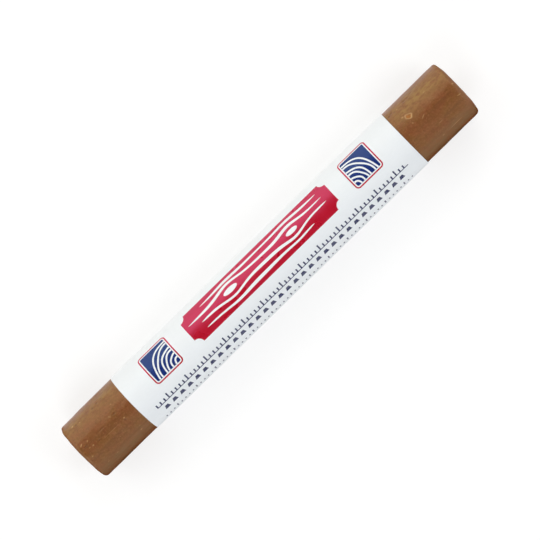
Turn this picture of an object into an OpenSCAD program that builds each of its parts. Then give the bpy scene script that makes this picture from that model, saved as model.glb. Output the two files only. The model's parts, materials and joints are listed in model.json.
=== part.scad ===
// Furniture repair wax stick: a cast rod of coloured wax with a self-adhesive label wound round it.
// It lies along X on its label, with z = 0 at the table, the label's front up (+Z) and X = 0 at mid-length.

/* [Wax rod] */
// Length of the rod, from flat to flat
rod_length = 100; // [60:0.5:160]
// Diameter of the rod
rod_d = 12.75; // [9.5:0.05:20]
// Radius of the flat in the middle of each end
land_r = 3; // [1.5:0.1:3.5]
// Fall of the left end from its flat to the rim
left_crown = 0.25; // [0.1:0.05:0.6]
// Fall of the right end from its flat to the rim
right_crown = 0.5; // [0.1:0.05:0.6]
// Radius that rounds the rim of each end
rim_r = 0.65; // [0.2:0.05:1]

/* [Label] */
// Bare wax between the left end and the label
bare_left = 13.85; // [2:0.05:25]
// Bare wax between the label and the right end
bare_right = 14.25; // [2:0.05:25]
// Thickness of the printed sheet
sheet_t = 0.09; // [0.05:0.01:0.2]
// Thickness of the adhesive coat on the back of the sheet
adhesive_t = 0.03; // [0.025:0.005:0.08]
// Angle from the front of the label to its head edge, which is stuck down first, towards +Y
head_angle = 105; // [95:1:125]
// Length of the tail that laps over the head edge
lap_length = 4; // [2:0.25:5]
// Length of the slope on which the tail climbs up to the head edge
climb_length = 0.7; // [0.4:0.1:1]

/* [Hidden] */
$fn = 96;

// Flat steps that stand for the crown and the rim
crown_steps = 8;
rim_steps = 8;

// How far a wedge reaches, as a share of the label's radius
reach_share = 2;
// How far a stretch of the label is carried on into its neighbour, as a share of its own length
root_share = 0.25;

wax_colour = [0.50, 0.32, 0.18];
adhesive_colour = [0.88, 0.86, 0.76];
sheet_colour = [0.93, 0.94, 0.95];

rod_r = rod_d / 2;
label_width = rod_length - bare_left - bare_right;
// The adhesive and the sheet together, which is also the step between one turn and the next
layer_t = adhesive_t + sheet_t;
barrel_r = rod_r + layer_t;
lap_angle = arc_angle(lap_length, barrel_r);
climb_angle = arc_angle(climb_length, rod_r);
tail_angle = head_angle + lap_angle;
root_angle = tail_angle + root_share * lap_angle;
reach_r = reach_share * barrel_r;

// The angle that a length takes up round a circle
function arc_angle(length, r) = length / r * 180 / PI;

// A point at a radius and an angle
function polar(r, angle) = r * [cos(angle), sin(angle)];

// Radius of the arc that leaves the flat level and falls by the crown on its way out to the rim
function crown_r(crown) = (pow(rod_r - land_r, 2) + crown * crown) / (2 * crown);

// Slope at which the crown runs into the rim
function crown_angle(crown) = asin((rod_r - rim_r - land_r) / (crown_r(crown) - rim_r));

// Half of one end's outline as [radius, height over the flat]: the crown, then the rim, each tangent to the next
function end_outline(crown) =
    let (
        big_r = crown_r(crown),
        turn = crown_angle(crown),
        crown_centre = [land_r, -big_r],
        rim_centre = [rod_r - rim_r, (big_r - rim_r) * cos(turn) - big_r]
    )
    concat(
        [for (i = [0 : crown_steps]) crown_centre + polar(big_r, 90 - turn * i / crown_steps)],
        [for (i = [1 : rim_steps]) rim_centre + polar(rim_r, (90 - turn) * (1 - i / rim_steps))]
    );

// Lifts the axis of the stick so that the label rests on the table
module lying_on_label() translate([0, 0, barrel_r]) children();

module wax_rod() {
    left_end = end_outline(left_crown);
    right_end = end_outline(right_crown);
    half = rod_length / 2;
    outline = concat(
        [[0, half]],
        [for (p = right_end) [p.x, half + p.y]],
        [for (i = [len(left_end) - 1 : -1 : 0]) [left_end[i].x, -half - left_end[i].y]],
        [[0, -half]]
    );
    color(wax_colour)
        lying_on_label()
            rotate([0, 90, 0])
                rotate_extrude()
                    polygon(outline);
}

// A wedge with its point on the axis, from one angle to another, that reaches well past the label
function wedge(from, to) =
    [[0, 0], polar(reach_r, from), polar(reach_r, (from + to) / 2), polar(reach_r, to)];

// The wedge that holds the tail beyond a radius: up the climb, then round to the angle where the tail ends
function tail_wedge(r, end_angle) =
    let (
        foot = polar(r, head_angle - climb_angle),
        top = polar(r + layer_t, head_angle),
        climb = top - foot,
        beyond = wedge(head_angle, end_angle)
    )
    [beyond[0], foot - root_share * climb, top + climb, beyond[2], beyond[3]];

// All that the wound label encloses at one radius: the first turn, and the tail one layer further out
module wound_region(r, end_angle) {
    circle(r);
    intersection() {
        circle(r + layer_t);
        polygon(tail_wedge(r, end_angle));
    }
}

// The stretch of a layer that lies under the lap, from the head edge to well into the turn
module layer_head(r, t) {
    intersection() {
        difference() {
            circle(r + t);
            circle(r);
        }
        polygon(wedge(head_angle, root_angle));
    }
}

// One layer of the wound label: a turn on the wax, the climb, and the tail lapped over the head
module wound_layer(gap, t) {
    r = rod_r + gap;
    lying_on_label()
        rotate([0, -90, 0])
            translate([0, 0, bare_right - rod_length / 2])
                linear_extrude(label_width) {
                    difference() {
                        wound_region(r + t, tail_angle);
                        wound_region(r, (tail_angle + root_angle) / 2);
                    }
                    layer_head(r, t);
                }
}

module label_adhesive() color(adhesive_colour) wound_layer(0, adhesive_t);

module label_sheet() color(sheet_colour) wound_layer(adhesive_t, sheet_t);

wax_rod();
label_adhesive();
label_sheet();
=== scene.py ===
import json
import math

import bpy
import numpy as np
from mathutils import Matrix, Vector


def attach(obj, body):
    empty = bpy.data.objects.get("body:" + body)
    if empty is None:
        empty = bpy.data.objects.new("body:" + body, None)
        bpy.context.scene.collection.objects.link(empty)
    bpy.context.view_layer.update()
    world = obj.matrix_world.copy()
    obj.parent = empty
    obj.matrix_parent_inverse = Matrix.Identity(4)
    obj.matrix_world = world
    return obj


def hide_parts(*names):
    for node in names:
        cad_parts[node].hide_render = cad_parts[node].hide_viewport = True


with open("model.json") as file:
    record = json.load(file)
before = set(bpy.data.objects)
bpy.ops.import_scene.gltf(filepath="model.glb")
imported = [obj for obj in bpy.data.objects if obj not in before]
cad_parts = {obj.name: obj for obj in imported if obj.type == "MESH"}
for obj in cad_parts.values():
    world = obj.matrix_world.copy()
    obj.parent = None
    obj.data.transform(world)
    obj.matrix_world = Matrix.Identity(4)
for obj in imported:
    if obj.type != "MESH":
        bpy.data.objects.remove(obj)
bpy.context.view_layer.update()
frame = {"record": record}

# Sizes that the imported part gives, in metres

MM = 0.001
MOUNTS = {mount["name"]: mount for mount in frame["record"]["mounts"]}
BARREL_R = MOUNTS["barrel"]["dims"]["r_mm"] * MM
LABEL_WIDTH = MOUNTS["barrel"]["dims"]["length_mm"] * MM
LABEL_MIDDLE = MOUNTS["barrel"]["pos_m"][0]
LABEL_LEFT = LABEL_MIDDLE - LABEL_WIDTH / 2
LABEL_RIGHT = LABEL_MIDDLE + LABEL_WIDTH / 2
AXIS_Z = MOUNTS["barrel"]["pos_m"][2]
LEFT_END = MOUNTS["left_end"]["pos_m"][0]
RIGHT_END = MOUNTS["right_end"]["pos_m"][0]

# The label: a printed sheet on an adhesive coat, wound once round the wax and lapped

SHEET_T = 0.09 * MM
ADHESIVE_T = 0.03 * MM
LAYER_T = SHEET_T + ADHESIVE_T
ROD_R = BARREL_R - LAYER_T
HEAD_ANGLE = math.radians(105)
LAP_LENGTH = 4 * MM
CLIMB_LENGTH = 0.7 * MM
LAP_ANGLE = LAP_LENGTH / BARREL_R
CLIMB_ANGLE = CLIMB_LENGTH / ROD_R
FULL_TURN = 2 * math.pi

# How the label follows the wax under it: how far it sinks, and the ripple's wavelength, stretch,
# count of waves and seed

LABEL_SINK = 0.003 * MM
LABEL_RIPPLE = (9 * MM, 1.5, 30, 5)

# How finely the label is drawn

TURN_POINTS = 361
CLIMB_POINTS = 9
LABEL_POINTS = 49

# The ends of the wax: a flat, a shallow crown and a rounded rim

LAND_R = 3 * MM
RIM_R = 0.65 * MM
LEFT_CROWN = 0.25 * MM
RIGHT_CROWN = 0.5 * MM

# How finely the wax is drawn

LAND_ROWS = 13
CROWN_ROWS = 11
RIM_ROWS = 9
HIDDEN_ROWS = 8
ROW_STEP = 0.14 * MM
WAX_COLUMNS = 356
TOP_CROWDING = 0.25
FINE_POINTS = 2000

# Edges sharper than this are drawn as edges

SHARP_ANGLE = math.radians(50)

# How uneven the cast wax is: for each kind of ripple its depth, wavelength, stretch along the
# stick, count of waves and seed, and the shares of the wavelength that the waves' lengths lie
# between

RIPPLE_LENGTH_SHARES = (0.7, 1.5)
LUMPS = (0.016 * MM, 11 * MM, 1.5, 24, 1)
DENTS = (0.016 * MM, 2.4 * MM, 1.8, 60, 2)
PIMPLES = (0.005 * MM, 1.1 * MM, 1.4, 60, 4)
DRAG_LINES = (0.0025 * MM, 0.7 * MM, 25, 60, 3)
DRAFT_MIDDLE = -0.02 * MM
DRAFT = 0.00106
MARK_HEIGHT = 0.025 * MM
MARK_DEPTH = 0.08 * MM
TUCK_DEPTH = 0.03 * MM
TUCK_LENGTH = 0.5 * MM

# Wear on the ends: the left end is drawn in on one side, the right end is out of square and worn on
# one corner

DRAWN_IN = 0.13 * MM
RIGHT_TILT = math.radians(1.1)
TILT_LENGTH = 3 * MM
WORN_SHORT = 0.04 * MM
WORN_DEPTH = 0.2 * MM
WORN_LENGTH = 0.9 * MM
WORN_FROM_SHARE = 0.2

# A burst bubble in the wax near the right edge of the label. Its lip has an outline and a wholeness
# that wave round it, each wave with its count, height and phase. Shares are of the way from its
# middle to the lip

PIT_X = 39.17 * MM
PIT_ANGLE = math.radians(23)
PIT_LENGTH = 1.22 * MM
PIT_WIDTH = 0.86 * MM
PIT_SLANT = math.radians(-29)
PIT_DEPTH = 0.2 * MM
PIT_SLOPE_SHARE = 0.55
PIT_WAVES = ((1, 0.06, 0.5), (3, 0.06, -0.6))
LIP_HEIGHT = 0.045 * MM
LIP_SHARE = 1.05
LIP_SPREAD_SHARE = 0.28
LIP_WHOLENESS = 0.72
LIP_WAVES = ((1, 0.16, math.pi / 2), (2, 0.12, math.pi / 2 + 1))
# Where the painted highlight on the lip lies, and how far it spreads
LIP_HIGHLIGHT_SHARE = 1.03
LIP_HIGHLIGHT_SPREAD_SHARE = 0.23
HOLLOW_SHARES = (0.05, 0.35)

# Marks in the wax: place along the stick, angle from the top, length, width, slant to the stick's
# axis, and strength, above zero for a pale nick and below zero for a dark dent. Lengths are in mm
# and angles in degrees

MARKS = [
    (-47.5, 51, 0.55, 0.3, 20, 0.8),
    (-48.5, 11, 0.6, 0.2, 35, 0.9),
    (-47.1, 9, 0.4, 0.2, 60, 0.6),
    (-46.8, -3, 0.34, 0.3, 0, 0.7),
    (-47.6, -2, 0.4, 0.2, 0, 0.35),
    (-48.4, -16, 0.32, 0.22, 10, 0.6),
    (-45.9, 46, 0.45, 0.25, -30, 0.5),
    (-39.1, 27, 0.22, 0.2, 0, 0.6),
    (-40.9, 12, 0.7, 0.14, -45, 0.6),
    (-39.0, -6, 0.26, 0.22, 0, 0.9),
    (-38.3, -45, 0.4, 0.25, 0, 0.5),
    (-47.0, -45, 0.5, 0.2, 0, 0.3),
    (-44.6, -45, 0.5, 0.2, 0, 0.3),
    (-42.6, -7.6, 5.2, 0.1, -1, 0.3),
    (-46.8, 48, 0.6, 0.47, 10, -0.65),
    (-43.6, 51, 0.8, 0.4, 0, -0.3),
    (-42.3, 48.5, 0.6, 0.5, -10, -0.65),
    (-41.1, 51, 0.7, 0.47, 8, -0.6),
    (-39.9, 51, 0.6, 0.43, 0, -0.5),
    (-39.3, 45, 0.48, 0.43, 0, -0.4),
    (-48.0, 4.5, 0.6, 0.24, 0, -0.9),
    (-43.6, 7, 1.2, 0.34, 5, -0.6),
    (-45.4, -4, 0.8, 0.3, 0, -0.5),
    (-39.1, -10, 0.5, 0.4, 0, -0.5),
    (-39.8, 11, 0.8, 0.4, 0, -0.6),
    (38.9, 9, 0.3, 0.24, 30, 0.5),
    (41.2, 5, 1.0, 0.18, 25, 0.55),
    (38.2, 29.5, 0.55, 0.3, -20, 0.55),
    (44.4, 36, 0.5, 0.2, 10, 0.4),
    (38.5, 51, 0.4, 0.26, 0, 0.5),
    (42.9, -23.5, 1.5, 0.12, 0, 0.35),
    (44.8, -48, 2.8, 0.16, 0, 0.4),
    (41.5, -47.5, 0.5, 0.2, 0, 0.35),
    (48.9, -11.5, 0.9, 0.14, -10, 0.7),
    (49.5, 10.5, 0.4, 0.3, 0, 0.5),
    (36.4, 52, 0.6, 0.5, 0, -0.6),
    (37.1, 55, 0.7, 0.47, 15, -0.5),
    (37.8, 51, 0.5, 0.43, 0, -0.45),
    (40.4, 55, 0.8, 0.47, -8, -0.6),
    (41.3, 55, 0.6, 0.43, 0, -0.45),
    (42.2, 58, 0.8, 0.36, 0, -0.4),
    (45.5, 4, 3.4, 0.16, 0, -0.4),
    (47.6, 9, 0.7, 0.24, 0, -0.5),
]

# Marks like those on the side that the list leaves out: their count, and the ranges that they are
# drawn from

FAR_COUNT = 34
FAR_SEED = 6
FAR_PLACES = (36.8, 49)
FAR_ANGLES = (80, 280)
FAR_LENGTHS = (0.35, 1)
FAR_WIDTHS = (0.2, 0.4)
FAR_SLANTS = (-40, 40)
FAR_STRENGTHS = (0.4, 0.9)
FAR_SIGNS = (-1, 1, 1)

# Painted light on the wax: a patchy yellowish painted highlight on the lit +Y side, most of all on
# the right end, a greyish painted sheen on the -Y side, and a painted shade along the -Y flank

PAINTED_HIGHLIGHT_START = 34 * MM
PAINTED_HIGHLIGHT_FULL = 40 * MM
PAINTED_HIGHLIGHT_ANGLE = math.radians(42)
PAINTED_HIGHLIGHT_SPREAD = math.radians(16)
FAINT_HIGHLIGHT_ANGLE = math.radians(53)
FAINT_HIGHLIGHT_SHARE = 0.75
PAINTED_SHEEN_ANGLE = math.radians(-54)
PAINTED_SHEEN_SPREAD = math.radians(15)
PAINTED_SHADE_ANGLE = math.radians(-88)
PAINTED_SHADE_SPREAD = math.radians(19)
PAINTED_LIGHT_EDGE_SHARE = 0.8

# Looks of wax and label alike: slow clouds, and gloss that is lost at a steep slant on the -Y side.
# A noise has its size, detail and roughness. A range has the two values that it goes between, and
# what these are brought to

CLOUD_NOISE = (4 * MM, 2, 0.5)
LOST_SIDE_RANGE = (-5 * MM, -3 * MM, 1, 0)
LOST_SLANT_RANGE = (0.45, 0.72, 0, 1)

# Looks of the wax

BLOTCH_NOISE = (1.3 * MM, 2, 0.5)
STREAK_NOISE = (0.75 * MM, 4, 0.6)
GRAIN_NOISE = (0.35 * MM, 3, 0.5)
SPOT_NOISE = (0.6 * MM, 2, 0.5)
FLECK_SPACING = 1.1 * MM
STREAK_SQUEEZE = (0.06, 1, 1)
SPOT_SQUEEZE = (0.5, 1, 1)
OLIVE_RANGE = (0.8, 1.2, 0, 1)
STREAK_RANGE = (0.5, 0.7, 0, 0.6)
PALE_GRAIN_RANGE = (0.52, 0.7, 0, 0.7)
DARK_GRAIN_RANGE = (0.3, 0.46, 0.6, 0)
FLECK_RANGE = (0.05, 0.1, 0.6, 0)
# Patches in the painted highlight, painted sheen and painted shade
PAINTED_HIGHLIGHT_RANGE = (0.38, 0.62, 0.1, 1)
PAINTED_SHEEN_RANGE = (0.7, 1.2, 0.5, 1)
PAINTED_SHADE_RANGE = (0.85, 1.15, 0.45, 1)
WAX_REDDISH = (0.201, 0.058, 0.0175, 1)
WAX_OLIVE = (0.184, 0.066, 0.0135, 1)
WAX_SHADE = (0.125, 0.034, 0.008, 1)
WAX_GRAIN = (0.25, 0.093, 0.03, 1)
WAX_FLECK = (0.36, 0.17, 0.06, 1)
# Colours of the painted highlight, painted sheen and painted shade
WAX_PAINTED_HIGHLIGHT = (0.27, 0.138, 0.034, 1)
WAX_PAINTED_SHEEN = (0.182, 0.089, 0.037, 1)
WAX_PAINTED_SHADE = (0.088, 0.044, 0.021, 1)
WAX_HOLLOW = (0.35, 0.115, 0.014, 1)
WAX_DENT = (0.1, 0.022, 0.005, 1)
# Pale nicks, and the painted highlight on the pit's lip
WAX_NICK_AND_LIP_HIGHLIGHT = (0.53, 0.31, 0.13, 1)
WAX_SHEEN = (1.0, 0.78, 0.5, 1)
WAX_GLOSS = 0.9
SATIN_RANGE = (0.7, 1.3, 0.3, 0.46)
DULL_RIM_RANGE = (RIGHT_END - 2 * RIM_R, RIGHT_END - RIM_R / 2, 0, 0.5)
DULL_SIDE_RANGE = (-5 * MM, 0, 0.6, -0.08)
DULL_SLANT_RANGE = (0.06, 0.4, 0, 1)
STREAK_BUMP = 0.014 * MM
BLOTCH_BUMP = 0.03 * MM
GRAIN_BUMP = 0.018 * MM
SCATTER_SHARE = 0.12
SCATTER_RADIUS = (1.0, 0.4, 0.2)
SCATTER_SCALE = 0.8 * MM

# The print: ink films on the sheet

INK_T = 0.006 * MM
INK_BITE = 0.002 * MM
PRINT_ARC = -2.6 * MM
BANNER_LENGTH = 38 * MM
BANNER_HEIGHT = 7 * MM
BANNER_NOTCH = 1.3 * MM
TILE_SIDE = 7 * MM
TILE_CORNER = 0.8 * MM
TILE_LEAST_CORNER = 0.2 * MM
TILE_PLACE = 26.4 * MM
TILE_GAP_INSET = 0.28 * MM
TILE_FIELD_INSET = 0.52 * MM
NOTCH_POINTS = 20
CORNER_POINTS = 10
BANNER_POINTS = 40
TILE_POINTS = 12
FILM_COLUMNS = 30
STRIP_COLUMNS = 3

# The banner's wood grain: for each line its level and reach as shares of the banner's half height
# and half length, and its shift

GRAIN_LEVEL_SHARES = (-0.63, -0.2, 0.2, 0.63)
GRAIN_REACH_SHARES = (0.8, 0.92, 0.86, 0.74)
GRAIN_SHIFTS = (1.2 * MM, -0.6 * MM, 0.8 * MM, -1.4 * MM)
GRAIN_POINTS = 120
GRAIN_WAVE = 0.1 * MM
GRAIN_WAVE_LENGTH = 4.2 * MM
GRAIN_HALF_WIDTH = 0.26 * MM
GRAIN_LEAST_SHARE = 0.01
GRAIN_SWELL_SHARE = 0.2
GRAIN_SWELL_LENGTH = 2.9 * MM

# The knots in the grain: place, half length, half height, how far the grain swings out and over
# what length

KNOTS = [
    (-7.5 * MM, 1.7 * MM, 0.55 * MM, 0.85 * MM, 3.4 * MM),
    (8.5 * MM, 1.4 * MM, 0.48 * MM, 0.75 * MM, 3.0 * MM),
]
KNOT_POINTS = 21
KNOT_COLUMNS = 7
KNOT_LEAST_SHARE = 0.0004

# The growth rings on the tiles, the rule's ticks and the dovetails

RING_RADII = (1.0 * MM, 1.85 * MM, 2.75 * MM, 3.5 * MM, 4.5 * MM, 5.3 * MM)
RING_POINTS = 40
RING_WOBBLE_SHARE = 0.025
RING_WOBBLE_COUNT = 5
RING_WOBBLE_SHIFT = 3
RING_HALF_WIDTH = 0.17 * MM
RING_INSET = 0.55 * MM
SCALE_PITCH = 1 * MM
SCALE_LONG_EVERY = 5
SCALE_HALF_COUNT = 33
TICK_HALF_WIDTH = 0.15 * MM
TICK_COLUMNS = 4
UPPER_BASE = 4.25 * MM
UPPER_TICKS = (0.8 * MM, 1.3 * MM)
LOWER_BASE = 8.3 * MM
LOWER_TICKS = (0.6 * MM, 1.1 * MM)
BASE_HALF_WIDTH = 0.09 * MM
BASE_POINTS = 60
DOVETAIL_PITCH = 2 * MM
DOVETAIL_SHIFT_SHARE = 0.25
DOVETAIL_BASE = 5.0 * MM
DOVETAIL_HEIGHT = 0.95 * MM
DOVETAIL_NARROW = 0.35 * MM
DOVETAIL_SPLAY = 0.3 * MM
DOVETAIL_COLUMNS = 5

# Looks of the label: paper, adhesive and inks, each with two shades that it goes between

FIBRE_NOISE = (0.3 * MM, 4, 0.6)
FIBRE_SQUEEZE = (0.3, 1, 1)
FIBRE_RANGE = (0.4, 0.7, 0, 1)
FIBRE_BUMP = 0.0012 * MM
PAPER_SHADES = ((0.83, 0.865, 0.895, 1), (0.81, 0.845, 0.875, 1))
PAPER_CLOUD = (0.815, 0.845, 0.87, 1)
PAPER_CLOUD_RANGE = (0.4, 0.7, 0, 0.6)
PAPER_SATIN_RANGE = (0.3, 0.7, 0.28, 0.36)
PAPER_GLOSS = 0.4
ADHESIVE_NOISE = (0.8 * MM, 3, 0.5)
ADHESIVE_RANGE = (0.35, 0.65, 0, 1)
ADHESIVE_SHADES = ((0.75, 0.71, 0.54, 1), (0.66, 0.6, 0.43, 1))
ADHESIVE_SATIN_RANGE = (0.3, 0.7, 0.25, 0.45)
ADHESIVE_BUMP = 0.002 * MM
INK_NOISE = (0.5 * MM, 4, 0.6)
INK_RANGE = (0.45, 0.75, 0, 1)
INK_SATIN_RANGE = (0.3, 0.7, 0.25, 0.33)
INK_BUMP = 0.0008 * MM
INK_GLOSS = 0.75
INK_SHEEN = (1, 1, 1, 1)
INK_INDEX = 1.5
RED_SHADES = ((0.46, 0.001, 0.009, 1), (0.48, 0.004, 0.016, 1))
BLUE_SHADES = ((0.005, 0.018, 0.155, 1), (0.008, 0.024, 0.175, 1))
NAVY_SHADES = ((0.012, 0.018, 0.085, 1), (0.02, 0.028, 0.11, 1))
WHITE_SHADES = ((0.83, 0.86, 0.88, 1), (0.81, 0.84, 0.865, 1))
RED_GLOSS = 1.0
RED_SHEEN = (1.0, 0.32, 0.7, 1)
RED_INDEX = 1.7
BLUE_SHEEN = (0.48, 0.74, 1.0, 1)

# Camera: straight above the right end of the stick, far enough away to flatten it

IMAGE_PIXELS = 540
MM_PER_PIXEL = 0.18996
SENSOR_WIDTH = 36
CLIP_START = 0.01
CAMERA_HEIGHT = 900 * MM
CAMERA_PLACE = Vector((42.7 * MM, 0, AXIS_Z + CAMERA_HEIGHT))
CAMERA_TARGET = Vector((-0.02 * MM, 0, AXIS_Z))
STICK_SLANT = math.radians(44.35)

# Studio: soft panels round the stick, a dimmer room and a white floor. Each panel has a side, given
# as its bearing from +X towards +Y, the angles from the zenith that it spans, its length, its
# radiance and its colour

PANEL_DISTANCE = 1.2
WARM = (1.0, 0.965, 0.87)
PLAIN = (1.0, 1.0, 1.0)
PANELS = {
    "key_panel": (90, (36, 89), 3.0, 1.06, WARM),
    "right_panel": (0, (30, 80), 1.0, 0.4, PLAIN),
    "left_panel": (180, (30, 80), 1.0, 0.4, PLAIN),
    "corner_panel_1": (45, (25, 80), 0.9, 1.15, PLAIN),
    "corner_panel_2": (135, (25, 80), 0.9, 1.15, PLAIN),
    "corner_panel_3": (225, (25, 80), 0.9, 2.05, PLAIN),
    "corner_panel_4": (315, (25, 80), 0.9, 2.05, PLAIN),
}
WALL_RADIANCE = 0.3
CEILING_RADIANCE = 0.08
ROOM_RANGE = (0.7, 0.94, WALL_RADIANCE, CEILING_RADIANCE)
FLOOR_HALF = 3.0
FLOOR_ALBEDO = 0.52
FLOOR_GLOW = 0.66
FLOOR_SHADE = 0.38


# Shapes


def ring(x, radius, angle):
    """Points at a radius and an angle round the stick's axis: y is the radius times the sine of the
    angle, and z is the axis plus the radius times its cosine, so the angle counts from the top
    towards +Y."""
    x, radius, angle = np.broadcast_arrays(x, radius, angle)
    return np.stack([x, radius * np.sin(angle), AXIS_Z + radius * np.cos(angle)], axis=-1)


def ripples(points, wavelength, stretch, count, seed):
    """Unevenness of unit spread: the sum of sine waves through space, each with its own direction,
    phase and length near the wavelength, and all of them stretched along the stick."""
    draw = np.random.default_rng(seed)
    direction = draw.normal(size=(count, 3))
    direction /= np.linalg.norm(direction, axis=1, keepdims=True)
    direction[:, 0] /= stretch
    wave = direction * FULL_TURN / (wavelength * draw.uniform(*RIPPLE_LENGTH_SHARES, (count, 1)))
    phase = draw.uniform(0, FULL_TURN, count)
    return np.sin(points @ wave.T + phase).sum(axis=-1) * math.sqrt(2 / count)


def smooth(value, low, high):
    """0 below low, 1 above high, and three t squared minus two t cubed between them."""
    t = np.clip((value - low) / (high - low), 0, 1)
    return t * t * (3 - 2 * t)


def bell(value, width):
    """The exponential of minus the square of value over width."""
    return np.exp(-np.square(value / width))


def waves(angle, level, terms):
    """A level plus sine waves round a circle, each with its count, height and phase."""
    return level + sum(height * np.sin(count * angle + phase) for count, height, phase in terms)


def turned_angle(angle, middle):
    """The angle from middle, brought to between minus half a turn and half a turn."""
    return np.mod(angle - middle + math.pi, FULL_TURN) - math.pi


def thin_solid(outer, inner):
    """A closed thin solid between two grids of (copies, rows, columns) points: the outer grid's
    cells, the inner grid's cells turned over, and a wall of cells round the border of each copy."""
    copies, rows, columns = outer.shape[:3]
    index = np.arange(copies * rows * columns).reshape(copies, rows, columns)
    corners = [index[:, :-1, :-1], index[:, 1:, :-1], index[:, 1:, 1:], index[:, :-1, 1:]]
    cells = np.stack(corners, axis=-1).reshape(-1, 4)
    border = np.concatenate(
        [index[:, 0, :-1], index[:, :-1, -1], index[:, -1, :0:-1], index[:, :0:-1, 0]], axis=1
    )
    ahead = np.roll(border, -1, axis=1)
    below = index.size
    walls = np.stack([border, ahead, ahead + below, border + below], axis=-1).reshape(-1, 4)
    faces = np.concatenate([cells, cells[:, ::-1] + below, walls])
    vertices = np.concatenate([outer.reshape(-1, 3), inner.reshape(-1, 3)])
    first, second, third = (vertices[cells[:, corner]] for corner in (0, 1, 3))
    across = np.cross(second - first, third - first)
    outwards = first - vertices[cells[:, 0] + below]
    if np.sum(across * outwards) < 0:
        faces = faces[:, ::-1]
    return vertices, faces


def add_piece(name, vertices, faces, material):
    """A mesh object at the origin that rides on the part, with soft shading and sharp edges where
    walls meet."""
    mesh = bpy.data.meshes.new(name)
    mesh.from_pydata(vertices.tolist(), [], [list(face) for face in faces])
    mesh.polygons.foreach_set("use_smooth", np.ones(len(mesh.polygons), bool))
    mesh.set_sharp_from_angle(angle=SHARP_ANGLE)
    mesh.materials.append(material)
    piece = bpy.data.objects.new(name, mesh)
    bpy.context.scene.collection.objects.link(piece)
    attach(piece, "root")
    return piece


# The cast wax


def end_rows(crown):
    """Half of one end's outline, from near the middle out to the side: radius, height over the
    flat, and the angle of the normal from the axis. The crown is an arc that leaves the flat level,
    and the rim an arc tangent to it and to the side."""
    crown_r = ((ROD_R - LAND_R) ** 2 + crown**2) / (2 * crown)
    turn = math.asin((ROD_R - RIM_R - LAND_R) / (crown_r - RIM_R))
    land = np.linspace(0, LAND_R, LAND_ROWS, endpoint=False)[1:]
    crown_slope = np.linspace(0, turn, CROWN_ROWS, endpoint=False)
    rim_slope = np.linspace(turn, math.pi / 2, RIM_ROWS)
    rim_height = (crown_r - RIM_R) * math.cos(turn) - crown_r
    radius = np.concatenate(
        [land, LAND_R + crown_r * np.sin(crown_slope), ROD_R - RIM_R + RIM_R * np.sin(rim_slope)]
    )
    height = np.concatenate(
        [0 * land, crown_r * (np.cos(crown_slope) - 1), rim_height + RIM_R * np.cos(rim_slope)]
    )
    slope = np.concatenate([0 * land, crown_slope, rim_slope])
    return radius, height, slope


def side_rows(start, stop):
    """Places along the side from start to stop, about a row step apart and twice as close beside
    the pit: equal shares of the integral of one plus a bell round the pit."""
    fine = np.linspace(start, stop, FINE_POINTS)
    density = 1 + bell(fine - PIT_X, PIT_LENGTH)
    total = np.concatenate([[0], np.cumsum(density[1:] * np.diff(fine))])
    count = int(total[-1] / ROW_STEP)
    return np.interp(np.linspace(0, total[-1], count), total, fine)


def wax_outline():
    """The wax's outline from one end to the other: place along the stick, radius, and the normal's
    share along the stick and outwards."""
    left_r, left_height, left_slope = end_rows(LEFT_CROWN)
    right_r, right_height, right_slope = end_rows(RIGHT_CROWN)
    left_x = LEFT_END - left_height
    right_x = RIGHT_END + right_height
    tuck_left = LABEL_LEFT + TUCK_LENGTH
    tuck_right = LABEL_RIGHT - TUCK_LENGTH
    side_x = np.concatenate(
        [
            side_rows(left_x[-1], tuck_left)[1:],
            np.linspace(tuck_left, tuck_right, HIDDEN_ROWS)[1:-1],
            side_rows(tuck_right, right_x[-1])[:-1],
        ]
    )
    x = np.concatenate([left_x, side_x, right_x[::-1]])
    radius = np.concatenate([left_r, np.full(len(side_x), ROD_R), right_r[::-1]])
    along = np.concatenate([-np.cos(left_slope), 0 * side_x, np.cos(right_slope[::-1])])
    outwards = np.concatenate([np.sin(left_slope), 1 + 0 * side_x, np.sin(right_slope[::-1])])
    return x, radius, along, outwards


def slanted(x, angle, place, turn, slant):
    """Distances of a place on the wax from another, along a line that is slanted to the stick's
    axis and square to it."""
    along = x - place
    across = ROD_R * turned_angle(angle, turn)
    lengthwise = along * math.cos(slant) + across * math.sin(slant)
    return lengthwise, across * math.cos(slant) - along * math.sin(slant)


def pit_reach(x, angle):
    """How far a place on the wax is from the pit's middle, as a share of the way to its lip, and
    how whole the lip is there. The lip is a slanted square-cornered oval: the fourth root of the
    sum of the fourth powers of the shares of its half length and half width, pulled out of shape by
    slow waves. Its wholeness is a level with such waves."""
    lengthwise, sidewise = slanted(x, angle, PIT_X, PIT_ANGLE, PIT_SLANT)
    along = lengthwise / (PIT_LENGTH / 2)
    across = sidewise / (PIT_WIDTH / 2)
    bearing = np.arctan2(across, along)
    lip = waves(bearing, 1, PIT_WAVES)
    return np.power(along**4 + across**4, 1 / 4) / lip, waves(bearing, LIP_WHOLENESS, LIP_WAVES)


def far_marks():
    """Marks for the side of the wax away from the top, drawn at random: a place on either bare end,
    an angle between one side of the stick and the other, and a size, slant and strength like the
    listed marks have."""
    draw = np.random.default_rng(FAR_SEED)
    side = draw.choice([-1, 1], FAR_COUNT)
    place = side * draw.uniform(*FAR_PLACES, FAR_COUNT)
    angle = draw.uniform(*FAR_ANGLES, FAR_COUNT)
    length = draw.uniform(*FAR_LENGTHS, FAR_COUNT)
    width = draw.uniform(*FAR_WIDTHS, FAR_COUNT)
    slant = draw.uniform(*FAR_SLANTS, FAR_COUNT)
    strength = draw.choice(FAR_SIGNS, FAR_COUNT) * draw.uniform(*FAR_STRENGTHS, FAR_COUNT)
    return np.stack([place, angle, length, width, slant, strength], axis=-1).tolist()


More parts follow.
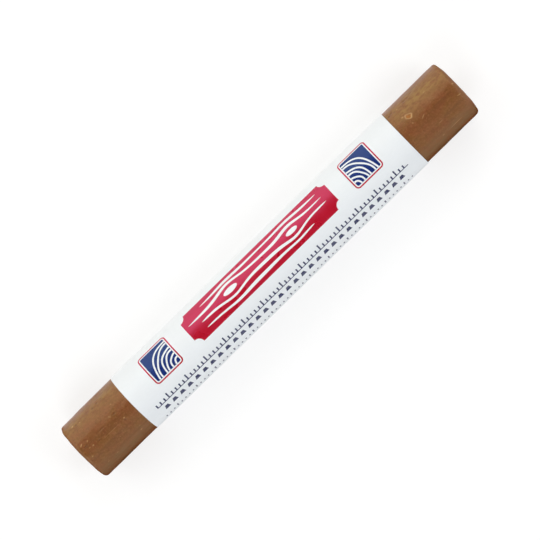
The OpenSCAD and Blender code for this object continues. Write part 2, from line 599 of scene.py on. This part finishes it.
def wax_marks(x, angle):
    """The marks as two masks, pale and dark: for each, the exponential of minus the fourth power of
    the reach over its slanted length and width, times its strength."""
    pale = np.zeros(np.broadcast(x, angle).shape)
    dark = np.zeros(pale.shape)
    for place, turn, length, width, slant, strength in MARKS + far_marks():
        turn, slant = math.radians(turn), math.radians(slant)
        lengthwise, sidewise = slanted(x, angle, place * MM, turn, slant)
        reach = np.hypot(lengthwise / (length * MM / 2), sidewise / (width * MM / 2))
        mask = pale if strength > 0 else dark
        np.maximum(mask, abs(strength) * bell(np.square(reach), 1), out=mask)
    return pale, dark


def wax_painted_light(x, radius, angle):
    """The painted highlight, the painted sheen and the painted shade as three masks: bells round
    their angles that fade out on the end faces, the highlight full on the right end and fainter, at
    its own angle, all along."""
    on_side = smooth(radius, PAINTED_LIGHT_EDGE_SHARE * ROD_R, ROD_R)
    full = smooth(x, PAINTED_HIGHLIGHT_START, PAINTED_HIGHLIGHT_FULL) * bell(turned_angle(angle, PAINTED_HIGHLIGHT_ANGLE), PAINTED_HIGHLIGHT_SPREAD)
    faint = FAINT_HIGHLIGHT_SHARE * bell(turned_angle(angle, FAINT_HIGHLIGHT_ANGLE), PAINTED_HIGHLIGHT_SPREAD)
    # Painted sheen: a greyer tone on the -Y side
    grey = bell(turned_angle(angle, PAINTED_SHEEN_ANGLE), PAINTED_SHEEN_SPREAD)
    # Painted shade: a darker tone along the -Y flank
    soil = bell(turned_angle(angle, PAINTED_SHADE_ANGLE), PAINTED_SHADE_SPREAD)
    return on_side * np.maximum(full, faint), on_side * grey, on_side * soil


def bare_share(x):
    """1 where the wax is bare, 0 under the label, and a smooth fall just inside the label's
    edges."""
    from_left = smooth(x, LABEL_LEFT, LABEL_LEFT + TUCK_LENGTH)
    from_right = smooth(-x, -LABEL_RIGHT, TUCK_LENGTH - LABEL_RIGHT)
    return 1 - from_left * from_right


def wax_relief(points, x, angle):
    """Height of the wax over its plain outline: slow lumps, dents, pimples, drag lines along the
    stick, the pit with its raised lip and the marks, and a slight sinking under the label."""
    reach, whole = pit_reach(x, angle)
    relief = np.zeros(reach.shape)
    for depth, *kind in (LUMPS, DENTS, PIMPLES, DRAG_LINES):
        relief += depth * ripples(points, *kind)
    lip = LIP_HEIGHT * whole * bell(reach - LIP_SHARE, LIP_SPREAD_SHARE)
    relief += lip - PIT_DEPTH * smooth(1 - reach, 0, PIT_SLOPE_SHARE)
    pale, dark = wax_marks(x, angle)
    relief += MARK_HEIGHT * pale - MARK_DEPTH * dark
    bare = bare_share(x)
    return relief * bare - TUCK_DEPTH * (1 - bare)


def drafted_and_worn(points, x, angle):
    """The wax with its draft and wear: it gets thinner from the left end to the right, the left end
    leans in on its +Y side, the right end's face is out of square, and the right rim is worn down
    on its -Y side."""
    side = np.sin(angle)
    draft = (DRAFT_MIDDLE - DRAFT * x) * bare_share(x)
    lean = DRAWN_IN * np.square(smooth(-x, -LABEL_LEFT, -LEFT_END)) * smooth(side, 0, 1)
    worn = WORN_DEPTH * bell(x - RIGHT_END, WORN_LENGTH) * smooth(-side, WORN_FROM_SHARE, 1)
    y, height = points[..., 1], points[..., 2] - AXIS_Z
    radius = np.hypot(y, height)
    swell = 1 + (draft - lean - worn) / ROD_R * smooth(radius, 0, ROD_R)
    end_share = smooth(x, RIGHT_END - TILT_LENGTH, RIGHT_END)
    moved = points.copy()
    moved[..., 0] += end_share * ((y - ROD_R) * math.tan(RIGHT_TILT) / 2 - WORN_SHORT)
    moved[..., 1] = y * swell
    moved[..., 2] = AXIS_Z + height * swell
    return moved


def cast_wax(material):
    """The wax as one surface of revolution with relief: the outline is carried round the axis, with
    columns closer together at the top, each point moves along its normal by the relief, and a fan
    of faces closes each pole."""
    row_x, row_r, row_along, row_out = (row[:, None] for row in wax_outline())
    turn = np.linspace(0, FULL_TURN, WAX_COLUMNS, endpoint=False)[None, :]
    angle = turn - TOP_CROWDING * np.sin(turn)
    plain = ring(row_x, row_r, angle)
    normal = ring(row_along, row_out, angle) - (0, 0, AXIS_Z)
    x = np.broadcast_to(row_x, plain.shape[:2])
    relief = wax_relief(plain, x, angle)
    grid = drafted_and_worn(plain + normal * relief[..., None], x, np.broadcast_to(angle, x.shape))
    poles = np.stack([grid[0].mean(axis=0), grid[-1].mean(axis=0)])
    vertices = np.concatenate([grid.reshape(-1, 3), poles])
    index = np.arange(x.size).reshape(x.shape)
    ahead = np.roll(index, -1, axis=1)
    cells = np.stack([index[:-1], index[1:], ahead[1:], ahead[:-1]], axis=-1).reshape(-1, 4)
    left_fan = np.stack([0 * index[0] + x.size, index[0], ahead[0]], axis=-1)
    right_fan = np.stack([0 * index[-1] + x.size + 1, ahead[-1], index[-1]], axis=-1)
    faces = cells.tolist() + left_fan.tolist() + right_fan.tolist()
    piece = add_piece("cast_wax", vertices, faces, material)
    reach, whole = pit_reach(x, angle)
    pale, dark = wax_marks(x, angle)
    # The pit's lip is painted pale as a highlight, in one mask with the pale nicks
    pale = np.maximum(pale, whole * bell(reach - LIP_HIGHLIGHT_SHARE, LIP_HIGHLIGHT_SPREAD_SHARE))
    hollow = smooth(1 - reach, *HOLLOW_SHARES)
    # The last three masks are painted light: highlight, sheen and shade
    names = ("pale", "dark", "hollow", "bloom", "grey", "soil")
    masks = (pale, dark, hollow, *wax_painted_light(x, row_r, angle))
    for name, mask in zip(names, masks):
        layer = piece.data.attributes.new(name, "FLOAT", "POINT")
        layer.data.foreach_set("value", np.concatenate([mask.ravel(), [0, 0]]).astype(np.float32))
    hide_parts("wax_rod")


# The wound label


def label_rise(turned):
    """How far the label has climbed over its own head edge at an angle of winding: nothing for one
    turn, then one layer, with a soft slope between."""
    top = HEAD_ANGLE + FULL_TURN
    return LAYER_T * smooth(turned, top - CLIMB_ANGLE, top)


def label_wave(x, angle):
    """Slight sinking of the label where it follows the wax under it: minus the square of an
    unevenness."""
    return -LABEL_SINK * np.square(ripples(ring(x, BARREL_R, angle), *LABEL_RIPPLE))


def wound_layer(name, gap, thickness, material, node):
    """One layer of the label as a closed thin solid: the spiral section, a turn on the wax, the
    climb and the lap, carried along the stick from one edge of the label to the other."""
    turned = np.linspace(HEAD_ANGLE, HEAD_ANGLE + FULL_TURN + LAP_ANGLE, TURN_POINTS)
    climb = np.linspace(-CLIMB_ANGLE, 0, CLIMB_POINTS) + HEAD_ANGLE + FULL_TURN
    turned = np.unique(np.concatenate([turned, climb]))[:, None]
    x = np.linspace(LABEL_LEFT, LABEL_RIGHT, LABEL_POINTS)[None, :]
    radius = ROD_R + gap + label_rise(turned) + label_wave(x, turned)
    outer = ring(x, radius + thickness, turned)
    inner = ring(x, radius, turned)
    vertices, faces = thin_solid(outer[None], inner[None])
    piece = add_piece(name, vertices, faces, material)
    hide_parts(node)


# The print on the label


def on_label(x, arc, lift):
    """Points on the front of the label: x from the label's middle, arc round it from the top
    towards -Y."""
    angle = -arc / BARREL_R
    place = x + LABEL_MIDDLE
    return ring(place, BARREL_R + label_wave(place, angle) + lift, angle)


def print_film(name, x, arc, layer, material):
    """An ink film over grids of (copies, rows, columns) places on the label, as many films thick as
    its layer."""
    x, arc = np.broadcast_arrays(x, arc)
    vertices, faces = thin_solid(on_label(x, arc, layer * INK_T), on_label(x, arc, -INK_BITE))
    add_piece(name, vertices, faces, material)


def between(x, low, high, columns):
    """Grids of places between a lower and an upper edge over x: the edges and equal steps from one
    to the other."""
    step = np.linspace(0, 1, columns)
    return x[..., None] + 0 * step, low[..., None] + (high - low)[..., None] * step


def notched_banner():
    """A bar with a quarter circle cut from each corner: near each end its edge is cut back by the
    circle's sine while the place along it goes by the cosine."""
    half_height = BANNER_HEIGHT / 2
    swing = np.linspace(0, math.pi / 2, NOTCH_POINTS)
    end = BANNER_LENGTH / 2 - BANNER_NOTCH * np.cos(swing)
    end_cut = BANNER_NOTCH * np.sin(swing)
    middle = np.linspace(-end[0], end[0], BANNER_POINTS)[1:-1]
    x = np.concatenate([-end[::-1], middle, end])[None]
    cut = np.concatenate([end_cut[::-1], 0 * middle, end_cut])[None]
    return between(x, PRINT_ARC - half_height + cut, PRINT_ARC + half_height - cut, FILM_COLUMNS)


def round_tiles(inset):
    """Two squares with rounded corners, one near each edge of the label: the height falls along a
    quarter circle."""
    half = TILE_SIDE / 2 - inset
    corner = max(TILE_CORNER - inset, TILE_LEAST_CORNER)
    swing = np.linspace(0, math.pi / 2, CORNER_POINTS)
    end = half - corner * (1 - np.sin(swing))
    end_cut = corner * (1 - np.cos(swing))
    middle = np.linspace(-end[0], end[0], TILE_POINTS)[1:-1]
    x = np.concatenate([-end[::-1], middle, end])
    cut = np.concatenate([end_cut[::-1], 0 * middle, end_cut])
    place = np.array([-TILE_PLACE, TILE_PLACE])[:, None]
    low = PRINT_ARC - half + cut + 0 * place
    high = PRINT_ARC + half - cut + 0 * place
    return between(x + place, low, high, FILM_COLUMNS)


def strips(x, arc, half_width):
    """Narrow strips along lines of (copies, points): each edge lies half a width to one side of the
    line, square to it."""
    run = np.gradient(x, axis=1)
    rise = np.gradient(arc, axis=1)
    length = np.hypot(run, rise)
    side = np.linspace(-1, 1, STRIP_COLUMNS)
    width = (half_width + 0 * x)[..., None] * side
    edge_x = x[..., None] - width * (rise / length)[..., None]
    edge_arc = arc[..., None] + width * (run / length)[..., None]
    return edge_x, edge_arc


def upright(values):
    """A row of values stood up as a column."""
    return np.array(values)[:, None]


def grain_lines():
    """Four bold lines of wood grain along the banner that part round two knots: each line keeps its
    level, with a slow wave, swings away from the middle near a knot by a bell of the distance, and
    thins out at its ends."""
    level = upright(GRAIN_LEVEL_SHARES) * BANNER_HEIGHT / 2
    reach = upright(GRAIN_REACH_SHARES) * BANNER_LENGTH / 2
    share = np.linspace(-1, 1, GRAIN_POINTS)[None]
    x = share * reach + upright(GRAIN_SHIFTS)
    swing = sum(push * bell(x - middle, length) for middle, _, _, push, length in KNOTS)
    calm = 1 - np.square(level / (BANNER_HEIGHT / 2))
    arc = level + np.sign(level) * swing * np.square(calm)
    arc = arc + GRAIN_WAVE * np.sin(x / GRAIN_WAVE_LENGTH + level / MM)
    thinning = np.sqrt(np.maximum(1 - share**4, GRAIN_LEAST_SHARE))
    swell = 1 + GRAIN_SWELL_SHARE * np.sin(x / GRAIN_SWELL_LENGTH + level / MM)
    return strips(x, PRINT_ARC + arc, GRAIN_HALF_WIDTH * thinning * swell)


def knots():
    """The two knots in the banner's grain: ovals, as high as the square root of one minus the
    square of the share of their length."""
    share = np.sin(np.linspace(-math.pi / 2, math.pi / 2, KNOT_POINTS))[None]
    middle, half_length, half_height = (upright(size) for size in list(zip(*KNOTS))[:3])
    fall = GRAIN_WAVE * np.sin(middle / GRAIN_WAVE_LENGTH)
    tall = half_height * np.sqrt(np.maximum(1 - share**2, KNOT_LEAST_SHARE))
    x = middle + half_length * share
    return between(x, PRINT_ARC + fall - tall, PRINT_ARC + fall + tall, KNOT_COLUMNS)


def growth_rings():
    """Quarter rings on the tiles, round the lower inner corner of each: radius times cosine and
    sine."""
    radius = upright(RING_RADII)
    swing = np.linspace(0, math.pi / 2, RING_POINTS)[None]
    phase = RING_WOBBLE_COUNT * swing + RING_WOBBLE_SHIFT * radius / MM
    wobble = 1 + RING_WOBBLE_SHARE * np.sin(phase)
    run = radius * wobble * np.cos(swing)
    climb = radius * wobble * np.sin(swing)
    inner = TILE_SIDE / 2 - RING_INSET
    x = np.concatenate([-TILE_PLACE + inner - run, TILE_PLACE - inner + run])
    arc = np.concatenate([PRINT_ARC + inner - climb, PRINT_ARC + inner - climb])
    return strips(x, arc, RING_HALF_WIDTH)


def scale_ticks(base, short, long):
    """A row of ticks like a rule's: upright bars a pitch apart, every fifth one longer, standing on
    a base line."""
    step = np.arange(-SCALE_HALF_COUNT, SCALE_HALF_COUNT)[:, None]
    reach = np.where(np.mod(step, SCALE_LONG_EVERY) == 0, long, short)
    bar = TICK_HALF_WIDTH * np.array([-1, 1])[None]
    x = step * SCALE_PITCH + bar
    return between(x, base + 0 * x, base - reach + 0 * x, TICK_COLUMNS)


def base_line(level):
    """A thin line along the label under a row of ticks."""
    half = SCALE_HALF_COUNT * SCALE_PITCH
    x = np.linspace(-half, half, BASE_POINTS)[None]
    return strips(x, level + 0 * x, BASE_HALF_WIDTH)


def dovetail_row():
    """A row of dovetails: bars that widen from one edge to the other, a pitch apart."""
    count = int(SCALE_HALF_COUNT * SCALE_PITCH / DOVETAIL_PITCH)
    place = (np.arange(-count, count) + DOVETAIL_SHIFT_SHARE)[:, None, None] * DOVETAIL_PITCH
    share = np.linspace(0, 1, DOVETAIL_COLUMNS)[None, None]
    side = np.array([-1, 1])[None, :, None]
    x = place + side * (DOVETAIL_NARROW + DOVETAIL_SPLAY * share)
    arc = DOVETAIL_BASE + DOVETAIL_HEIGHT * share + 0 * x
    return x, arc


# Finishes


def set_inputs(tree, node, inputs):
    """A node's inputs by name or number, each linked from a socket or set to a value."""
    for name, value in inputs.items():
        if isinstance(value, bpy.types.NodeSocket):
            tree.links.new(value, node.inputs[name])
        else:
            node.inputs[name].default_value = value


def add_node(tree, kind, inputs=None, **settings):
    """One node with its settings and its inputs."""
    node = tree.nodes.new(kind)
    for name, value in settings.items():
        setattr(node, name, value)
    set_inputs(tree, node, inputs or {})
    return node


def add_mix(tree, share, first, second):
    """A mix of two colours by a share."""
    inputs = {0: share, 6: first, 7: second}
    return add_node(tree, "ShaderNodeMix", inputs, data_type="RGBA").outputs[2]


def add_range(tree, value, low, high, to_low, to_high):
    """A value brought from one range to another, and kept inside it."""
    inputs = {
        "Value": value,
        "From Min": low,
        "From Max": high,
        "To Min": to_low,
        "To Max": to_high,
    }
    return add_node(tree, "ShaderNodeMapRange", inputs).outputs[0]


def add_noise(tree, coords, size, detail, roughness):
    """Soft noise with features of about one size."""
    inputs = {"Vector": coords, "Scale": 1 / size, "Detail": detail, "Roughness": roughness}
    return add_node(tree, "ShaderNodeTexNoise", inputs).outputs[0]


def add_math(tree, operation, first, second):
    """Two numbers brought together."""
    return add_node(tree, "ShaderNodeMath", {0: first, 1: second}, operation=operation).outputs[0]


def add_mask(tree, name):
    """A mask that the mesh carries."""
    return add_node(tree, "ShaderNodeAttribute", attribute_name=name).outputs["Fac"]


def add_squeeze(tree, coords, scale):
    """Coordinates squeezed along the stick, so that a pattern on them is drawn out."""
    return add_node(tree, "ShaderNodeMapping", {"Vector": coords, "Scale": scale}).outputs[0]


def add_bump(tree, height, depth, before=None):
    """A bump of a given depth, on top of another where one is given."""
    inputs = {"Height": height, "Distance": depth}
    if before is not None:
        inputs["Normal"] = before
    return add_node(tree, "ShaderNodeBump", inputs).outputs[0]


def new_finish(name):
    """An empty material with its shader, and the object's own coordinates."""
    material = bpy.data.materials.new(name)
    material.use_nodes = True
    tree = material.node_tree
    tree.nodes.clear()
    output = tree.nodes.new("ShaderNodeOutputMaterial")
    shader = tree.nodes.new("ShaderNodeBsdfPrincipled")
    tree.links.new(shader.outputs[0], output.inputs["Surface"])
    coords = tree.nodes.new("ShaderNodeTexCoord").outputs["Object"]
    return material, tree, shader, coords


def side_gloss(tree, coords, level):
    """A level of gloss that is lost at a steep slant on the -Y side."""
    facing = tree.nodes.new("ShaderNodeLayerWeight").outputs["Facing"]
    across = add_node(tree, "ShaderNodeSeparateXYZ", {0: coords}).outputs["Y"]
    lost_slant = add_range(tree, facing, *LOST_SLANT_RANGE)
    lost_side = add_range(tree, across, *LOST_SIDE_RANGE)
    left = add_math(tree, "SUBTRACT", 1, add_math(tree, "MULTIPLY", lost_slant, lost_side))
    return add_math(tree, "MULTIPLY", left, level)


def wax_finish():
    """Brown filler wax: reddish and olive clouds, streaks drawn out along the stick, fine grain and
    pale flecks, then by their masks a patchy yellowish painted highlight on the lit +Y side, a
    greyish painted sheen and a painted shade on the -Y side, the hollow of the pit, dark dents, and
    pale nicks with a painted highlight on the pit's lip.
    Its satin gloss is uneven, and at a slant it is duller, most of all on the -Y side and the
    rims."""
    material, tree, shader, coords = new_finish("filler_wax")
    cloud = add_noise(tree, coords, *CLOUD_NOISE)
    blotch = add_noise(tree, coords, *BLOTCH_NOISE)
    streak = add_noise(tree, add_squeeze(tree, coords, STREAK_SQUEEZE), *STREAK_NOISE)
    grain = add_noise(tree, coords, *GRAIN_NOISE)
    spot = add_noise(tree, add_squeeze(tree, coords, SPOT_SQUEEZE), *SPOT_NOISE)
    mottle = add_math(tree, "ADD", cloud, blotch)
    fleck = add_node(tree, "ShaderNodeTexVoronoi", {"Vector": coords, "Scale": 1 / FLECK_SPACING})
    from_fleck = fleck.outputs["Distance"]
    colour = add_mix(tree, add_range(tree, mottle, *OLIVE_RANGE), WAX_REDDISH, WAX_OLIVE)
    colour = add_mix(tree, add_range(tree, streak, *STREAK_RANGE), colour, WAX_SHADE)
    colour = add_mix(tree, add_range(tree, grain, *PALE_GRAIN_RANGE), colour, WAX_GRAIN)
    colour = add_mix(tree, add_range(tree, grain, *DARK_GRAIN_RANGE), colour, WAX_SHADE)
    colour = add_mix(tree, add_range(tree, from_fleck, *FLECK_RANGE), colour, WAX_FLECK)
    # Painted highlight, painted sheen and painted shade, then the pit's hollow, dark dents, and
    # pale nicks with the painted highlight on the pit's lip
    layers = [
        ("bloom", add_range(tree, spot, *PAINTED_HIGHLIGHT_RANGE), WAX_PAINTED_HIGHLIGHT),
        ("grey", add_range(tree, mottle, *PAINTED_SHEEN_RANGE), WAX_PAINTED_SHEEN),
        ("soil", add_range(tree, mottle, *PAINTED_SHADE_RANGE), WAX_PAINTED_SHADE),
        ("hollow", 1, WAX_HOLLOW),
        ("dark", 1, WAX_DENT),
        ("pale", 1, WAX_NICK_AND_LIP_HIGHLIGHT),
    ]
    for mask, patches, shade in layers:
        share = add_math(tree, "MULTIPLY", add_mask(tree, mask), patches)
        colour = add_mix(tree, share, colour, shade)
    facing = tree.nodes.new("ShaderNodeLayerWeight").outputs["Facing"]
    place = add_node(tree, "ShaderNodeSeparateXYZ", {0: coords})
    along, across = place.outputs["X"], place.outputs["Y"]
    from_middle = add_node(tree, "ShaderNodeMath", {0: along}, operation="ABSOLUTE").outputs[0]
    dull_rim = add_range(tree, from_middle, *DULL_RIM_RANGE)
    dull_side = add_range(tree, across, *DULL_SIDE_RANGE)
    dull_slant = add_range(tree, facing, *DULL_SLANT_RANGE)
    dullest = add_math(tree, "MAXIMUM", dull_rim, dull_side)
    dullness = add_math(tree, "MULTIPLY", dull_slant, dullest)
    satin = add_range(tree, add_math(tree, "ADD", streak, grain), *SATIN_RANGE)
    bump = add_bump(tree, streak, STREAK_BUMP)
    bump = add_bump(tree, blotch, BLOTCH_BUMP, bump)
    bump = add_bump(tree, grain, GRAIN_BUMP, bump)
    set_inputs(
        tree,
        shader,
        {
            "Base Color": colour,
            "Roughness": add_math(tree, "ADD", satin, dullness),
            "Normal": bump,
            "Specular IOR Level": side_gloss(tree, coords, WAX_GLOSS),
            "Specular Tint": WAX_SHEEN,
            "Subsurface Weight": SCATTER_SHARE,
            "Subsurface Radius": SCATTER_RADIUS,
            "Subsurface Scale": SCATTER_SCALE,
        },
    )
    return material


def paper_finish():
    """Coated label stock: cool white with faint fibres and a low orange-peel gloss."""
    material, tree, shader, coords = new_finish("coated_paper")
    fibre = add_noise(tree, add_squeeze(tree, coords, FIBRE_SQUEEZE), *FIBRE_NOISE)
    cloud = add_noise(tree, coords, *CLOUD_NOISE)
    colour = add_mix(tree, add_range(tree, fibre, *FIBRE_RANGE), *PAPER_SHADES)
    colour = add_mix(tree, add_range(tree, cloud, *PAPER_CLOUD_RANGE), colour, PAPER_CLOUD)
    set_inputs(
        tree,
        shader,
        {
            "Base Color": colour,
            "Roughness": add_range(tree, cloud, *PAPER_SATIN_RANGE),
            "Specular IOR Level": side_gloss(tree, coords, PAPER_GLOSS),
            "Normal": add_bump(tree, fibre, FIBRE_BUMP),
        },
    )
    return material


def adhesive_finish():
    """Clear tacky adhesive, seen only as a line at the label's edges: pale, cloudy and half
    glossy."""
    material, tree, shader, coords = new_finish("label_adhesive_coat")
    cloud = add_noise(tree, coords, *ADHESIVE_NOISE)
    set_inputs(
        tree,
        shader,
        {
            "Base Color": add_mix(tree, add_range(tree, cloud, *ADHESIVE_RANGE), *ADHESIVE_SHADES),
            "Roughness": add_range(tree, cloud, *ADHESIVE_SATIN_RANGE),
            "Normal": add_bump(tree, cloud, ADHESIVE_BUMP),
        },
    )
    return material


def ink_finish(name, shades, gloss, sheen=INK_SHEEN, index=INK_INDEX):
    """Ink: a full shade, thinner in soft patches, with a smooth surface of a given gloss, colour of
    its sheen and index of refraction."""
    material, tree, shader, coords = new_finish(name)
    patch = add_noise(tree, coords, *INK_NOISE)
    cloud = add_noise(tree, coords, *CLOUD_NOISE)
    set_inputs(
        tree,
        shader,
        {
            "Base Color": add_mix(tree, add_range(tree, patch, *INK_RANGE), *shades),
            "Roughness": add_range(tree, cloud, *INK_SATIN_RANGE),
            "Specular IOR Level": gloss,
            "Specular Tint": sheen,
            "IOR": index,
            "Normal": add_bump(tree, patch, INK_BUMP),
        },
    )
    return material


def floor_finish():
    """A white floor: seen by the camera and in reflections it glows almost white and still takes
    the shadow, and for other light it is plain white paint."""
    material, tree, shader, _ = new_finish("studio_floor")
    tree.nodes.remove(shader)
    output = next(node for node in tree.nodes if node.type == "OUTPUT_MATERIAL")
    paint = add_node(tree, "ShaderNodeBsdfDiffuse", {"Color": (FLOOR_ALBEDO,) * 3 + (1,)})
    shade = add_node(tree, "ShaderNodeBsdfDiffuse", {"Color": (FLOOR_SHADE,) * 3 + (1,)})
    glow = add_node(tree, "ShaderNodeEmission", {"Color": (1, 1, 1, 1), "Strength": FLOOR_GLOW})
    seen = add_node(tree, "ShaderNodeAddShader", {0: shade.outputs[0], 1: glow.outputs[0]})
    path = tree.nodes.new("ShaderNodeLightPath")
    glossy, through = path.outputs["Is Glossy Ray"], path.outputs["Is Transmission Ray"]
    mirrored = add_math(tree, "MAXIMUM", glossy, through)
    direct = add_math(tree, "MAXIMUM", path.outputs["Is Camera Ray"], mirrored)
    finishes = {0: direct, 1: paint.outputs[0], 2: seen.outputs[0]}
    mixed = add_node(tree, "ShaderNodeMixShader", finishes)
    tree.links.new(mixed.outputs[0], output.inputs["Surface"])
    return material


# Studio


def add_floor():
    """The floor: a flat square grid at the table's height."""
    edge = np.linspace(-FLOOR_HALF, FLOOR_HALF, 3)
    x, y = np.meshgrid(edge, edge, indexing="ij")
    vertices = np.stack([x, y, 0 * x], axis=-1).reshape(-1, 3)
    index = np.arange(x.size).reshape(x.shape)
    corners = [index[:-1, :-1], index[1:, :-1], index[1:, 1:], index[:-1, 1:]]
    mesh = bpy.data.meshes.new("studio_floor")
    mesh.from_pydata(vertices.tolist(), [], np.stack(corners, axis=-1).reshape(-1, 4).tolist())
    mesh.materials.append(floor_finish())
    floor = bpy.data.objects.new("studio_floor", mesh)
    bpy.context.scene.collection.objects.link(floor)


def add_panel(name, bearing, from_zenith, length, radiance, colour):
    """An upright soft panel on one side of the stick that spans two angles from the zenith, seen
    from the stick. Its power is pi times its area times its radiance."""
    high, low = (PANEL_DISTANCE / math.tan(math.radians(angle)) for angle in from_zenith)
    lamp = bpy.data.lights.new(name, "AREA")
    lamp.shape = "RECTANGLE"
    lamp.size = length
    lamp.size_y = high - low
    lamp.energy = math.pi * length * (high - low) * radiance
    lamp.color = colour
    panel = bpy.data.objects.new(name, lamp)
    turn = math.radians(bearing)
    along, across = PANEL_DISTANCE * math.cos(turn), PANEL_DISTANCE * math.sin(turn)
    panel.location = (along, across, (high + low) / 2)
    panel.rotation_euler = (math.pi / 2, 0, turn + math.pi / 2)
    bpy.context.scene.collection.objects.link(panel)


def add_room():
    """Dim light from all round: pale walls that fade into a darker ceiling above an angle of 45
    degrees."""
    world = bpy.data.worlds.new("studio_room")
    world.use_nodes = True
    tree = world.node_tree
    direction = tree.nodes.new("ShaderNodeTexCoord").outputs["Generated"]
    upwards = add_node(tree, "ShaderNodeSeparateXYZ", {0: direction}).outputs["Z"]
    background = tree.nodes["Background"]
    background.inputs["Color"].default_value = (1, 1, 1, 1)
    radiance = add_range(tree, upwards, *ROOM_RANGE)
    tree.links.new(radiance, background.inputs["Strength"])
    bpy.context.scene.world = world


def add_camera():
    """The camera, turned so that the stick slants up to the right. Its lens makes the image as
    wide, at the stick, as the pixels times the size of one."""
    sight = CAMERA_TARGET - CAMERA_PLACE
    back = -sight.normalized()
    stick = Vector((1, 0, 0))
    stick = (stick - back * stick.dot(back)).normalized()
    side = back.cross(stick)
    right = stick * math.cos(STICK_SLANT) - side * math.sin(STICK_SLANT)
    up = stick * math.sin(STICK_SLANT) + side * math.cos(STICK_SLANT)
    data = bpy.data.cameras.new("photo_camera")
    data.sensor_width = SENSOR_WIDTH
    data.lens = SENSOR_WIDTH * sight.length / (IMAGE_PIXELS * MM_PER_PIXEL * MM)
    data.clip_start = CLIP_START
    camera = bpy.data.objects.new("photo_camera", data)
    turn = Matrix((right, up, back)).transposed()
    camera.matrix_world = Matrix.Translation(CAMERA_PLACE) @ turn.to_4x4()
    bpy.context.scene.collection.objects.link(camera)
    bpy.context.scene.camera = camera


add_camera()
add_floor()
for panel_name, panel_facts in PANELS.items():
    add_panel(panel_name, *panel_facts)
add_room()
bpy.context.scene.view_settings.view_transform = "Standard"

wax = wax_finish()
paper = paper_finish()
red = ink_finish("red_ink", RED_SHADES, RED_GLOSS, RED_SHEEN, RED_INDEX)
blue = ink_finish("blue_ink", BLUE_SHADES, INK_GLOSS, BLUE_SHEEN)
navy = ink_finish("navy_ink", NAVY_SHADES, INK_GLOSS)
white = ink_finish("white_ink", WHITE_SHADES, PAPER_GLOSS)

cast_wax(wax)
wound_layer("label_adhesive_layer", 0, ADHESIVE_T, adhesive_finish(), "label_adhesive")
wound_layer("label_face_layer", ADHESIVE_T, SHEET_T, paper, "label_sheet")

print_film("banner_red", *notched_banner(), 1, red)
print_film("banner_grain", *grain_lines(), 2, white)
print_film("banner_knots", *knots(), 2, white)
print_film("tile_frames", *round_tiles(0), 1, red)
print_film("tile_gaps", *round_tiles(TILE_GAP_INSET), 2, white)
print_film("tile_fields", *round_tiles(TILE_FIELD_INSET), 3, blue)
print_film("tile_rings", *growth_rings(), 4, white)
print_film("scale_ticks_upper", *scale_ticks(UPPER_BASE, *UPPER_TICKS), 1, navy)
print_film("scale_line_upper", *base_line(UPPER_BASE), 1, navy)
print_film("dovetails", *dovetail_row(), 1, navy)
print_film("scale_ticks_lower", *scale_ticks(LOWER_BASE, *LOWER_TICKS), 1, navy)
